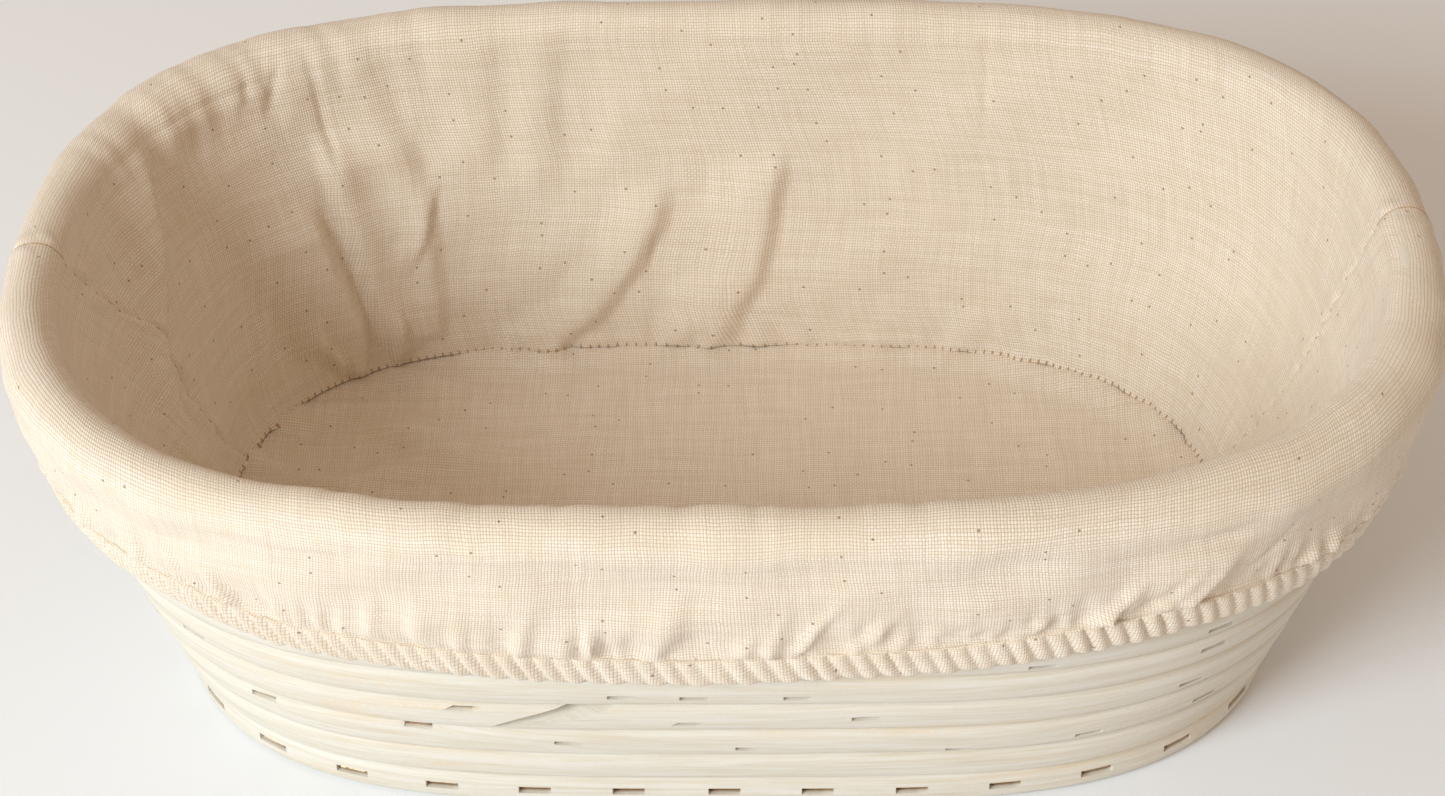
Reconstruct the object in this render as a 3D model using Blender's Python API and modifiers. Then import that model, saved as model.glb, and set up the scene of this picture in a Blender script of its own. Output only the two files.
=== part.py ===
"""Oval proving basket of coiled cane with a removable gathered cloth liner.

The base is a flat coil of cane round a straight core strand, and the wall is a second coil stacked up
on its edge. Each turn is level, and steps over to the next one along the back. The wall's cane is
several lengths joined end to end by scarf joints, and staples hold the base turns together.
The liner has a floor panel, a front and a rear side panel that hang over the rim, and a casing round
its hem with an elastic band inside, which rides higher round the ends.

Units are metres and +Z is up. +X is the long axis, -Y is the front, and the origin is at the centre of
the underside.
"""

import math

import bmesh
import bpy
import numpy as np
from mathutils import Matrix, Vector

MM = 0.001

# Cane
CANE_THICKNESS = 7.8 * MM
GAP = 0.3 * MM
PITCH = CANE_THICKNESS + GAP
BASE_PITCH = 8.25 * MM
CANE_SIDES = 8
CORE_HALF_LENGTH = 41.4 * MM
CORE_END_CLEARANCE = 5.0 * MM
BASE_TURNS = 7
WALL_TURNS = 9
TOP_LEVEL = BASE_TURNS + WALL_TURNS
POINTS_PER_TURN = 36
STEP_OVER_TURN = 2.0 / POINTS_PER_TURN
TAPER_TIP = 0.2
SCARF_LENGTH = 24.0 * MM
BASE_START = 1.0 - STEP_OVER_TURN
BASE_END = BASE_TURNS + 1.0
WALL_START = BASE_END - STEP_OVER_TURN
WALL_END = TOP_LEVEL + 1.0
COIL_STARTS = (BASE_START, WALL_START)
COIL_ENDS = (BASE_END, WALL_END)
SPLICES = (10.5 - 0.5 / POINTS_PER_TURN, 13.5 - 0.5 / POINTS_PER_TURN)

# Oval outline
END_FLARE = 20.85 * MM
SIDE_FLARE = 14.85 * MM
WALL_LEAN = math.radians(14.0)
SIDE_POWER_CORE = 2.0
SIDE_POWER_WALL = 2.4
FULLNESS_BASE = 1.16
FULLNESS_RIM = 1.03

# Staples round the edge of the base
STAPLE_COUNT = 34
STAPLE_WIRE = 0.8 * MM
STAPLE_CROWN = 5.0 * MM
STAPLE_LEG = 9.6 * MM
STAPLE_SUNK = 0.5 * MM
SLOT_CUTTER_PROUD = 2.0 * MM
OUTLINE_SAMPLES = 4001

# Liner
CLOTH = 0.6 * MM
FLOOR_PANEL_INSET = 5.7 * MM
PANEL_FOOT_HEIGHT = 9.6 * MM
HEM_BOTTOM = 41.3 * MM
HEM_TOP = 48.9 * MM
SKIRT_BOTTOM = 50.1 * MM
HEM_RISE = 8.5 * MM
HEM_RISE_POWER = 0.6
SKIRT_LOOSENESS = 1.3 * MM
RIM_BLEND = 5.0 * MM
CASING_CLOTH = 0.4 * MM
CASING_FOLD = 0.9 * MM
CASING_OPENING = 1.2 * MM
ELASTIC_THICKNESS = 0.7 * MM
ELASTIC_WIDTH = 5.0 * MM
THREAD = 0.5 * MM
FLOOR_THREAD_INSET = 0.6 * MM
INNER_ROWS = 4
RIM_ROWS = 7
SKIRT_ROWS = 2

CANE_RADIUS = CANE_THICKNESS / 2
CANE_CORNER_RADIUS = CANE_RADIUS / math.cos(math.pi / CANE_SIDES)
BASE_HALF_WIDTH = BASE_TURNS * BASE_PITCH
WALL_HEIGHT = math.sqrt((WALL_TURNS * PITCH) ** 2 - SIDE_FLARE**2)
RIM_HEIGHT = CANE_RADIUS + WALL_HEIGHT
CLOTH_OUT = CANE_CORNER_RADIUS + GAP + CLOTH / 2

CANE_COLOUR = (0.82, 0.76, 0.65)
STEEL_COLOUR = (0.30, 0.27, 0.24)
CLOTH_COLOUR = (0.78, 0.67, 0.54)
THREAD_COLOUR = (0.70, 0.58, 0.44)
ELASTIC_COLOUR = (0.85, 0.83, 0.79)


def clear_scene():
    for old in list(bpy.data.objects):
        bpy.data.objects.remove(old, do_unlink=True)


def make_collection(name):
    collection = bpy.data.collections.new(name)
    bpy.context.scene.collection.children.link(collection)
    return collection


def make_material(name, colour, roughness, metallic=0.0):
    material = bpy.data.materials.new(name)
    material.use_nodes = True
    shader = material.node_tree.nodes["Principled BSDF"]
    shader.inputs["Base Color"].default_value = (*colour, 1.0)
    shader.inputs["Roughness"].default_value = roughness
    shader.inputs["Metallic"].default_value = metallic
    return material


def add_object(name, data, material, collection):
    piece = bpy.data.objects.new(name, data)
    data.materials.append(material)
    collection.objects.link(piece)
    return piece


# ---------------------------------------------------------------- the oval and the coil


def oval_shape(level):
    """Half-length, half-width, the two powers and the height of a turn's centre-line.

    Level 0 is the core strand, BASE_TURNS is the edge of the base, and TOP_LEVEL is the rim.
    """
    base_share = min(level / BASE_TURNS, 1.0)
    wall_share = max(level - BASE_TURNS, 0.0) / WALL_TURNS
    half_width = base_share * BASE_HALF_WIDTH + wall_share * SIDE_FLARE
    half_length = CORE_HALF_LENGTH + base_share * BASE_HALF_WIDTH + wall_share * END_FLARE
    fullness = 1.0 + (FULLNESS_BASE - 1.0) * base_share
    fullness += (FULLNESS_RIM - FULLNESS_BASE) * wall_share
    end_power = fullness * 2.0 * half_length / half_width
    side_power = SIDE_POWER_CORE + (SIDE_POWER_WALL - SIDE_POWER_CORE) * base_share
    height = CANE_RADIUS + wall_share * WALL_HEIGHT
    return half_length, half_width, end_power, side_power, height


def signed_power(value, power):
    return math.copysign(abs(value) ** power, value)


def oval_point(level, angle, out=0.0, height=None):
    """A point on a turn's outline, moved outwards by out. Angle 0 is at +X."""
    half_length, half_width, end_power, side_power, own_height = oval_shape(level)
    x = (half_length + out) * signed_power(math.cos(angle), 2.0 / end_power)
    y = (half_width + out) * signed_power(math.sin(angle), 2.0 / side_power)
    return Vector((x, y, own_height if height is None else height))


def wall_level(height):
    return BASE_TURNS + WALL_TURNS * (height - CANE_RADIUS) / WALL_HEIGHT


def turn_angle(turn):
    """Turns are counted from the middle of the back, anticlockwise from above."""
    return math.pi / 2 + math.tau * turn


def along_back(past, level):
    """Where a point is along the back, as a share of the half-length, from how far its turn is past the middle."""
    end_power = oval_shape(level)[2]
    return -signed_power(math.sin(math.tau * past), 2.0 / end_power)


def step_done(turn):
    """How much of its step over a turn has made, from 0 to 1.

    The steps start together. The outermost end at the middle of the back, and the inner turns of the
    base take longer, so that each stays clear of the next one out.
    """
    nearest = round(turn)
    past = turn - nearest
    late = STEP_OVER_TURN * max(BASE_TURNS - nearest, 0) / BASE_TURNS
    past = min(max(past, -STEP_OVER_TURN), late)
    start = along_back(-STEP_OVER_TURN, nearest)
    return (start - along_back(past, nearest)) / (start - along_back(late, nearest))


def coil_level(turn):
    """Each turn is level, apart from its step over to the next one at the back."""
    return round(turn) - 1.0 + step_done(turn)


def coil_turns(first, last):
    """The turn values from first to last that fall on the shared spacing, with both ends."""
    count = round((last - first) * POINTS_PER_TURN)
    start = math.ceil(first * POINTS_PER_TURN - 1e-6)
    inner = [(start + i) / POINTS_PER_TURN for i in range(count + 1)]
    inner = [turn for turn in inner if first + 1e-4 < turn < last - 1e-4]
    return [first, *inner, last]


# ---------------------------------------------------------------- cane


def chord_point(turn):
    """The point on the coil's straight chord here, and the way along that chord."""
    low = math.floor(turn * POINTS_PER_TURN + 1e-6) / POINTS_PER_TURN
    high = low + 1.0 / POINTS_PER_TURN
    share = (turn - low) * POINTS_PER_TURN
    start = oval_point(coil_level(low), turn_angle(low))
    end = oval_point(coil_level(high), turn_angle(high))
    return start.lerp(end, share), (end - start).normalized()


def cut_back(points):
    """Cuts a start that is shaved to nothing back to where it is as thick as the tip."""
    while points[1][1] < TAPER_TIP:
        points.pop(0)
    (thin, thin_scale, lean), (thick, thick_scale, _) = points[0], points[1]
    if thin_scale < TAPER_TIP:
        share = (TAPER_TIP - thin_scale) / (thick_scale - thin_scale)
        points[0] = (thin.lerp(thick, share), TAPER_TIP, lean)
    return points


def cane_points(first, last):
    """Centre-line points, each with its scale and its lean.

    A length that starts or ends a coil is shaved thin under or over its neighbour's step.
    """
    points = []
    for turn in coil_turns(first, last):
        scale = 1.0
        level = coil_level(turn)
        if first in COIL_STARTS and turn <= first + 2 * STEP_OVER_TURN:
            scale = step_done(turn + 1.0)
            level = round(turn) - (1.0 - scale) / 2
        if last in COIL_ENDS and turn >= last - STEP_OVER_TURN:
            scale = 1.0 - step_done(turn)
            level = last - 1.0 + (1.0 - scale) / 2
        out = 0.0
        if last == BASE_END and level > BASE_TURNS:
            out = (level - BASE_TURNS) * BASE_PITCH
            level = BASE_TURNS
        place = oval_point(level, turn_angle(turn), out)
        if turn in SPLICES:
            place, _ = chord_point(turn)
        wall_share = min(max(level - BASE_TURNS, 0.0), 1.0)
        points.append((place, scale, wall_share * WALL_LEAN))
    return cut_back(cut_back(points)[::-1])[::-1]


def cane_curve(name, points):
    curve = bpy.data.curves.new(name, "CURVE")
    curve.dimensions = "3D"
    curve.twist_mode = "Z_UP"
    curve.bevel_depth = CANE_CORNER_RADIUS
    curve.bevel_resolution = 2
    curve.use_fill_caps = True
    spline = curve.splines.new("POLY")
    spline.points.add(len(points) - 1)
    for target, (place, scale, lean) in zip(spline.points, points):
        target.co = (*place, 1.0)
        target.radius = scale
        target.tilt = math.pi / CANE_SIDES + lean
    return curve


def mesh_from_curve(name, curve, material, collection):
    """The curve's evaluated tube as a closed mesh object, with its end caps welded on."""
    guide = bpy.data.objects.new(name + "_path", curve)
    collection.objects.link(guide)
    graph = bpy.context.evaluated_depsgraph_get()
    mesh = bpy.data.meshes.new_from_object(guide.evaluated_get(graph))
    bpy.data.objects.remove(guide, do_unlink=True)
    shape = bmesh.new()
    shape.from_mesh(mesh)
    bmesh.ops.remove_doubles(shape, verts=shape.verts, dist=0.00001)
    bmesh.ops.recalc_face_normals(shape, faces=shape.faces)
    shape.to_mesh(mesh)
    shape.free()
    mesh.name = name
    return add_object(name, mesh, material, collection)


def slant_end(piece, turn, side):
    """Slants a cut end into half of a scarf joint. Side is 1 at the end of a cane and -1 at its start."""
    centre, along = chord_point(turn)
    centre = centre + along * (GAP / 2) * -side
    level = coil_level(turn)
    stack = oval_point(level + 0.5, turn_angle(turn)) - oval_point(level - 0.5, turn_angle(turn))
    stack = (stack - along * stack.dot(along)).normalized()
    for vertex in piece.data.vertices:
        offset = vertex.co - centre
        if abs(offset.dot(along)) < 2 * GAP and offset.length < 1.2 * CANE_CORNER_RADIUS:
            slide = offset.dot(stack) / CANE_THICKNESS * SCARF_LENGTH
            vertex.co = vertex.co + along * (slide - GAP / 2 * side)


def make_cane(name, first, last, material, collection):
    piece = mesh_from_curve(name, cane_curve(name, cane_points(first, last)), material, collection)
    if first in SPLICES:
        slant_end(piece, first, -1)
    if last in SPLICES:
        slant_end(piece, last, 1)
    return piece


def make_core(material, collection):
    """The straight strand that the first turn wraps."""
    reach = CORE_HALF_LENGTH - CORE_END_CLEARANCE
    ends = [(Vector((x, 0.0, CANE_RADIUS)), 1.0, 0.0) for x in (-reach, reach)]
    return mesh_from_curve("core_cane", cane_curve("core_cane", ends), material, collection)


# ---------------------------------------------------------------- staples


def staple_frames():
    """Where each staple's crown is centred, with its way along the cane and its way in."""
    angles = np.linspace(0.0, math.tau, OUTLINE_SAMPLES)
    outline = np.array([oval_point(BASE_TURNS, angle, CANE_RADIUS) for angle in angles])
    travelled = np.concatenate([[0.0], np.cumsum(np.linalg.norm(np.diff(outline, axis=0), axis=1))])
    frames = []
    for index in range(STAPLE_COUNT):
        place = (index + 0.5) / STAPLE_COUNT * travelled[-1]
        angle = np.interp(place, travelled, angles)
        centre = oval_point(BASE_TURNS, angle, CANE_RADIUS)
        ahead = oval_point(BASE_TURNS, angle + 0.01, CANE_RADIUS)
        along = (ahead - centre).normalized()
        inward = Vector((0.0, 0.0, 1.0)).cross(along)
        frames.append((centre, along, inward))
    return frames


def frame_matrix(centre, along, inward):
    """Local X runs along the cane, local Y runs inwards and local Z is up."""
    turn = Matrix((along, inward, Vector((0.0, 0.0, 1.0)))).transposed()
    return Matrix.Translation(centre) @ turn.to_4x4()


def make_staple(index, frame, material, collection):
    """A square wire bent into a U, with its crown just under the cane's face."""
    name = f"staple_{index + 1:02d}"
    half = STAPLE_CROWN / 2 - STAPLE_WIRE / 2
    near = STAPLE_SUNK + STAPLE_WIRE / 2
    far = STAPLE_SUNK + STAPLE_LEG
    curve = bpy.data.curves.new(name, "CURVE")
    curve.dimensions = "3D"
    curve.twist_mode = "Z_UP"
    curve.bevel_depth = STAPLE_WIRE / 2
    curve.bevel_resolution = 0
    curve.use_fill_caps = True
    spline = curve.splines.new("POLY")
    route = ((-half, far), (-half, near), (half, near), (half, far))
    spline.points.add(len(route) - 1)
    for target, (x, y) in zip(spline.points, route):
        target.co = (x, y, 0.0, 1.0)
    staple = add_object(name, curve, material, collection)
    staple.matrix_world = frame_matrix(*frame)
    return staple


def make_staple_slots(frames, collection):
    """One cutter that holds the slot of every staple."""
    shape = bmesh.new()
    start = -SLOT_CUTTER_PROUD
    end = STAPLE_SUNK + STAPLE_LEG + GAP
    size = (STAPLE_CROWN + 2 * GAP, end - start, STAPLE_WIRE + 2 * GAP, 1.0)
    middle = Matrix.Translation((0.0, (start + end) / 2, 0.0))
    for frame in frames:
        place = frame_matrix(*frame) @ middle @ Matrix.Diagonal(size)
        bmesh.ops.create_cube(shape, size=1.0, matrix=place)
    mesh = bpy.data.meshes.new("staple_slots")
    shape.to_mesh(mesh)
    shape.free()
    cutter = bpy.data.objects.new("staple_slots", mesh)
    cutter.hide_render = True
    cutter.display_type = "WIRE"
    collection.objects.link(cutter)
    return cutter


def cut(piece, cutter):
    modifier = piece.modifiers.new("cut", "BOOLEAN")
    modifier.operation = "DIFFERENCE"
    modifier.solver = "EXACT"
    modifier.object = cutter


# ---------------------------------------------------------------- liner


def shared_angles(first, last):
    """Angles on the coil's own spacing between first and last, with both ends."""
    step = math.tau / POINTS_PER_TURN
    inner = [i * step for i in range(-POINTS_PER_TURN, 2 * POINTS_PER_TURN)]
    inner = [angle for angle in inner if first + 0.01 < angle < last - 0.01]
    return [first, *inner, last]


def liner_point(row, angle):
    """A row of the liner's profile is (level, out, height, share of the hem's rise towards the ends)."""
    level, out, height, share = row
    rise = share * HEM_RISE * abs(math.cos(angle)) ** HEM_RISE_POWER
    return oval_point(level + rise * WALL_TURNS / WALL_HEIGHT, angle, out, height + rise)


def make_sheet(name, profile, angles, closed, thickness, material, collection):
    """A strip that follows the oval, with the profile's rows, thickened by Solidify."""
    shape = bmesh.new()
    rows = [[shape.verts.new(liner_point(row, angle)) for angle in angles] for row in profile]
    count = len(angles)
    for low, high in zip(rows, rows[1:]):
        for i in range(count if closed else count - 1):
            j = (i + 1) % count
            shape.faces.new((low[i], low[j], high[j], high[i]))
    mesh = bpy.data.meshes.new(name)
    shape.to_mesh(mesh)
    shape.free()
    sheet = add_object(name, mesh, material, collection)
    wall = sheet.modifiers.new("cloth", "SOLIDIFY")
    wall.thickness = thickness
    wall.offset = 0.0
    wall.use_even_offset = True
    return sheet


def side_out(distance):
    """A distance square to the leaning wall, as a level distance."""
    return distance / math.cos(WALL_LEAN)


def side_profile():
    """From the floor seam up the inside, over the rim and down the outside to the hem."""
    rows = []
    for height in np.linspace(PANEL_FOOT_HEIGHT, RIM_HEIGHT - RIM_BLEND, INNER_ROWS):
        rows.append((wall_level(height), -side_out(CLOTH_OUT), height, 0.0))
    for turn in np.linspace(math.pi - WALL_LEAN, -WALL_LEAN, RIM_ROWS):
        out = CLOTH_OUT * math.cos(turn)
        rows.append((TOP_LEVEL, out, RIM_HEIGHT + CLOTH_OUT * math.sin(turn), 0.0))
    for height in np.linspace(RIM_HEIGHT - RIM_BLEND, SKIRT_BOTTOM, SKIRT_ROWS):
        share = (RIM_HEIGHT - height) / (RIM_HEIGHT - SKIRT_BOTTOM)
        out = side_out(CLOTH_OUT) + share * SKIRT_LOOSENESS
        rows.append((wall_level(height), out, height, share))
    return rows


def make_side_panel(name, middle, material, collection):
    """Half of the liner's side, which stops short of the end seams to leave room for their thread."""
    seam = THREAD / 2 + GAP
    first = middle - math.pi / 2
    angles = shared_angles(first, first + math.pi)
    rows = side_profile()
    sheet = make_sheet(name, rows, angles, False, CLOTH, material, collection)
    side = 1.0 if math.sin(middle) > 0 else -1.0
    for vertex in sheet.data.vertices:
        if abs(vertex.co.y) < seam:
            vertex.co.y = side * seam
    return sheet


def full_angles():
    step = math.tau / POINTS_PER_TURN
    return [i * step for i in range(POINTS_PER_TURN)]


def make_floor_panel(material, collection):
    """The flat oval panel that lies on the base."""
    shape = bmesh.new()
    low = CANE_THICKNESS + GAP
    edge = [shape.verts.new(oval_point(BASE_TURNS, a, -FLOOR_PANEL_INSET, low)) for a in full_angles()]
    floor = shape.faces.new(edge)
    raised = bmesh.ops.extrude_face_region(shape, geom=[floor])["geom"]
    moved = [item for item in raised if isinstance(item, bmesh.types.BMVert)]
    bmesh.ops.translate(shape, verts=moved, vec=(0.0, 0.0, CLOTH))
    bmesh.ops.recalc_face_normals(shape, faces=shape.faces)
    mesh = bpy.data.meshes.new("floor_panel")
    shape.to_mesh(mesh)
    shape.free()
    return add_object("floor_panel", mesh, material, collection)


def hem_row(distance, height):
    return wall_level(height), side_out(distance), height, 1.0


def make_hem(cloth, elastic, collection):
    """The casing is folded up round the elastic and left open along its inner edge."""
    inner = CANE_RADIUS + GAP + CASING_CLOTH / 2
    band = inner + CASING_CLOTH / 2 + GAP + ELASTIC_THICKNESS / 2
    outer = band + ELASTIC_THICKNESS / 2 + GAP + CASING_CLOTH / 2
    fold = (inner + outer) / 2
    rows = [
        hem_row(inner, HEM_TOP - CASING_OPENING),
        hem_row(inner, HEM_BOTTOM + CASING_FOLD),
        hem_row(fold, HEM_BOTTOM),
        hem_row(outer, HEM_BOTTOM + CASING_FOLD),
        hem_row(outer, HEM_TOP),
    ]
    make_sheet("hem_casing", rows, full_angles(), True, CASING_CLOTH, cloth, collection)
    middle = (HEM_BOTTOM + HEM_TOP) / 2
    band_rows = [hem_row(band, middle + side * ELASTIC_WIDTH / 2) for side in (-1.0, 1.0)]
    angles = full_angles()
    make_sheet("hem_elastic", band_rows, angles, True, ELASTIC_THICKNESS, elastic, collection)
    return outer


def make_thread(name, points, cyclic, material, collection):
    curve = bpy.data.curves.new(name, "CURVE")
    curve.dimensions = "3D"
    curve.bevel_depth = THREAD / 2
    curve.bevel_resolution = 0
    curve.use_fill_caps = not cyclic
    spline = curve.splines.new("POLY")
    spline.points.add(len(points) - 1)
    for target, place in zip(spline.points, points):
        target.co = (*place, 1.0)
    spline.use_cyclic_u = cyclic
    return add_object(name, curve, material, collection)


def make_threads(hem_out, material, collection):
    """The stitching of the floor seam, the hem and the two end seams."""
    foot = CLOTH_OUT + CLOTH / 2 + GAP + THREAD
    floor_height = CANE_THICKNESS + GAP + CLOTH + GAP + THREAD
    floor = [oval_point(BASE_TURNS, a, -foot - FLOOR_THREAD_INSET, floor_height) for a in full_angles()]
    make_thread("floor_seam_thread", floor, True, material, collection)
    hem_height = (HEM_TOP + SKIRT_BOTTOM) / 2
    hem = [liner_point(hem_row(hem_out, hem_height), angle) for angle in full_angles()]
    make_thread("hem_thread", hem, True, material, collection)
    rows = side_profile()
    for name, angle in (("right_seam_thread", 0.0), ("left_seam_thread", math.pi)):
        route = [liner_point(row, angle) for row in rows]
        make_thread(name, route, False, material, collection)


def main():
    clear_scene()
    basket = make_collection("proving_basket")
    cutters = make_collection("cutters")
    cane = make_material("cane", CANE_COLOUR, 0.62)
    steel = make_material("staple_steel", STEEL_COLOUR, 0.45, 1.0)
    cloth = make_material("liner_cloth", CLOTH_COLOUR, 0.9)
    thread = make_material("thread", THREAD_COLOUR, 0.85)
    elastic = make_material("elastic", ELASTIC_COLOUR, 0.7)

    make_core(cane, basket)
    base = make_cane("base_cane", BASE_START, BASE_END, cane, basket)
    ends = (WALL_START, *SPLICES, WALL_END)
    for index, (first, last) in enumerate(zip(ends, ends[1:])):
        make_cane(f"wall_cane_{index + 1}", first, last, cane, basket)

    frames = staple_frames()
    cut(base, make_staple_slots(frames, cutters))
    for index, frame in enumerate(frames):
        make_staple(index, frame, steel, basket)

    make_floor_panel(cloth, basket)
    make_side_panel("front_panel", -math.pi / 2, cloth, basket)
    make_side_panel("rear_panel", math.pi / 2, cloth, basket)
    hem_out = make_hem(cloth, elastic, basket)
    make_threads(hem_out, thread, basket)


main()
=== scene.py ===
"""Looks of the oval proving basket: bleached coiled cane, staples, and a gathered cloth liner.

Units are metres and +Z is up. +X is the long axis and -Y is the front. Places round the basket are
shares of the way round the rim: 0 at +X, 0.25 at the middle of the back, 0.75 at the middle of the
front. Levels count the turns of cane: 0 is the core strand, 7 the edge of the base and 16 the rim.
"""

import math

import bmesh
import bpy
import numpy as np
from mathutils import Matrix, Vector


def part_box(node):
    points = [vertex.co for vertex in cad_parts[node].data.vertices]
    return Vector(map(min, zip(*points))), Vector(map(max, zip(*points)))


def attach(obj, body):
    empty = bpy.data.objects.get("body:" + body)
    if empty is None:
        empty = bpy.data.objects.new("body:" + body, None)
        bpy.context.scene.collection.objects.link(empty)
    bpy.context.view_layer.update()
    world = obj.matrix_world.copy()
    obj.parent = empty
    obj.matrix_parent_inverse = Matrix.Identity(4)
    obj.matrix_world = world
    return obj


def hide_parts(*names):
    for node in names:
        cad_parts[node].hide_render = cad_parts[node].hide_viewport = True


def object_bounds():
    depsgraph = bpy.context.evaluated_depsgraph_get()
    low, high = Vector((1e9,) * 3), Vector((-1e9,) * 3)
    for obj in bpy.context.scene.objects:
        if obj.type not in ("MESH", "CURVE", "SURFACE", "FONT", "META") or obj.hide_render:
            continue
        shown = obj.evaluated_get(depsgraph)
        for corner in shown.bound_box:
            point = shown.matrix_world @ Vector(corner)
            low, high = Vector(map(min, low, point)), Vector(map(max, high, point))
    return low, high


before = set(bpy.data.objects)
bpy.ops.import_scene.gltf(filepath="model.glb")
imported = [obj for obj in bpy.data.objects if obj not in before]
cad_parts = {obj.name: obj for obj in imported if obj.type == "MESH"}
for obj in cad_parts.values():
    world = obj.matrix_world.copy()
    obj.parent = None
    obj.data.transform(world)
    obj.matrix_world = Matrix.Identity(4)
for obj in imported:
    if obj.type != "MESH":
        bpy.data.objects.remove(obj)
cad_low, cad_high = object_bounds()

MM = 0.001

# ---------------------------------------------------------------- sizes read from the frame

CLOTH_PROUD = 5.0 * MM
BASE_TURNS = 7
WALL_TURNS = 9
TOP_LEVEL = BASE_TURNS + WALL_TURNS
core_low, core_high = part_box("core_cane")
base_low, base_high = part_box("base_cane")
CANE = core_high.z - core_low.z
CANE_RADIUS = CANE / 2
BASE_HALF_WIDTH = -base_low.y - CANE_RADIUS
BASE_HALF_LENGTH = base_high.x - CANE_RADIUS
CORE_HALF_LENGTH = BASE_HALF_LENGTH - BASE_HALF_WIDTH
BASE_PITCH = BASE_HALF_WIDTH / BASE_TURNS
RIM_HALF_WIDTH = -cad_low.y - CLOTH_PROUD
RIM_HALF_LENGTH = cad_high.x - CLOTH_PROUD
RIM_HEIGHT = cad_high.z - CLOTH_PROUD
WALL_HEIGHT = RIM_HEIGHT - CANE_RADIUS
WALL_LEAN = math.radians(14.0)
FULLNESS_BASE = 1.16
FULLNESS_RIM = 1.03
SIDE_POWER = 2.4

# ---------------------------------------------------------------- the oval

WAVE_COUNT = 9
RIM_SAMPLES = 200001


def signed_power(value, power):
    return np.sign(value) * np.abs(value) ** power


def turn_sizes(level):
    """Half width and half length of the turn at each level, and the power that shapes its ends."""
    base_share = np.minimum(level / BASE_TURNS, 1.0)
    wall_share = np.maximum(level - BASE_TURNS, 0.0) / WALL_TURNS
    half_width = base_share * BASE_HALF_WIDTH + wall_share * (RIM_HALF_WIDTH - BASE_HALF_WIDTH)
    half_length = CORE_HALF_LENGTH + base_share * BASE_HALF_WIDTH
    half_length = half_length + wall_share * (RIM_HALF_LENGTH - BASE_HALF_LENGTH)
    fullness = 1.0 + (FULLNESS_BASE - 1.0) * base_share + (FULLNESS_RIM - FULLNESS_BASE) * wall_share
    return half_width, half_length, fullness * 2.0 * half_length / np.maximum(half_width, CANE_RADIUS)


def oval_points(level, angle, out=0.0, height=None):
    """Points on the outlines of the turns, moved outwards by out, for arrays of levels and angles."""
    level = np.asarray(level, float)
    half_width, half_length, end_power = turn_sizes(level)
    side_power = 2.0 + (SIDE_POWER - 2.0) * np.minimum(level / BASE_TURNS, 1.0)
    x = (half_length + out) * signed_power(np.cos(angle), 2.0 / end_power)
    y = (half_width + out) * signed_power(np.sin(angle), 2.0 / side_power)
    if height is None:
        height = CANE_RADIUS + np.maximum(level - BASE_TURNS, 0.0) / WALL_TURNS * WALL_HEIGHT
    return np.stack(np.broadcast_arrays(x, y, height), axis=-1)


def wall_level(height):
    return BASE_TURNS + WALL_TURNS * (height - CANE_RADIUS) / WALL_HEIGHT


RIM_ANGLES = np.linspace(0.0, math.tau, RIM_SAMPLES)
RIM_STEPS = np.linalg.norm(np.diff(oval_points(TOP_LEVEL, RIM_ANGLES), axis=0), axis=1)
RIM_TRAVEL = np.concatenate([[0.0], np.cumsum(RIM_STEPS)])
RIM_LENGTH = float(RIM_TRAVEL[-1])


def rim_angle(share):
    """The oval's own angle at each share of the way round, unbroken past a full turn."""
    whole = np.floor(share)
    return whole * math.tau + np.interp((share - whole) * RIM_LENGTH, RIM_TRAVEL, RIM_ANGLES)


def unit(vectors):
    return vectors / np.linalg.norm(vectors, axis=-1, keepdims=True)


def waves(places, size, seed):
    """Smooth wandering noise of about unit height, from plane waves about size long."""
    chance = np.random.default_rng(seed)
    total = np.zeros(places.shape[:-1])
    for _ in range(WAVE_COUNT):
        direction = chance.normal(size=3)
        direction = direction / np.linalg.norm(direction)
        length = size * chance.uniform(0.7, 1.6)
        total += np.sin(places @ (direction * math.tau / length) + chance.uniform(0.0, math.tau))
    return total / math.sqrt(WAVE_COUNT / 2)


def smooth_step(value):
    value = np.clip(value, 0.0, 1.0)
    return value * value * (3.0 - 2.0 * value)


def fading(distance, reach):
    """1 at no distance, easing down to 0 at the reach."""
    return smooth_step(1.0 - distance / reach)


# ---------------------------------------------------------------- making pieces

MERGE_DISTANCE = 0.001 * MM
SHARP_ANGLE = math.radians(50.0)


def add_piece(name, mesh, material, body, replaced=()):
    """A finished piece: its place is in its mesh, it rides on a body and stands for CAD nodes."""
    piece = bpy.data.objects.new(name, mesh)
    bpy.context.scene.collection.objects.link(piece)
    mesh.materials.append(material)
    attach(piece, body)
    if replaced:
        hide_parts(*replaced)
    return piece


def flat_grid(columns, rows):
    """A flat unit sheet with a UV map, and how far across and down each vertex is."""
    shape = bmesh.new()
    shape.loops.layers.uv.new("cut")
    bmesh.ops.create_grid(shape, x_segments=columns, y_segments=rows, size=0.5, calc_uvs=True)
    mesh = bpy.data.meshes.new("sheet")
    shape.to_mesh(mesh)
    shape.free()
    places = np.empty(len(mesh.vertices) * 3)
    mesh.vertices.foreach_get("co", places)
    places = places.reshape(-1, 3)
    return mesh, places[:, 0] + 0.5, places[:, 1] + 0.5


def lay_out(mesh, places, cut):
    """Moves a flat sheet's vertices to their places, and sets its UV map to the cut's own measures."""
    mesh.vertices.foreach_set("co", np.ascontiguousarray(places, np.float32).ravel())
    corners = np.empty(len(mesh.loops), np.int32)
    mesh.loops.foreach_get("vertex_index", corners)
    mesh.uv_layers["cut"].data.foreach_set("uv", cut[corners].astype(np.float32).ravel())
    mesh.update()


def set_attribute(mesh, name, values):
    mesh.attributes.new(name, "FLOAT", "POINT").data.foreach_set("value", values.astype(np.float32))


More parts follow.
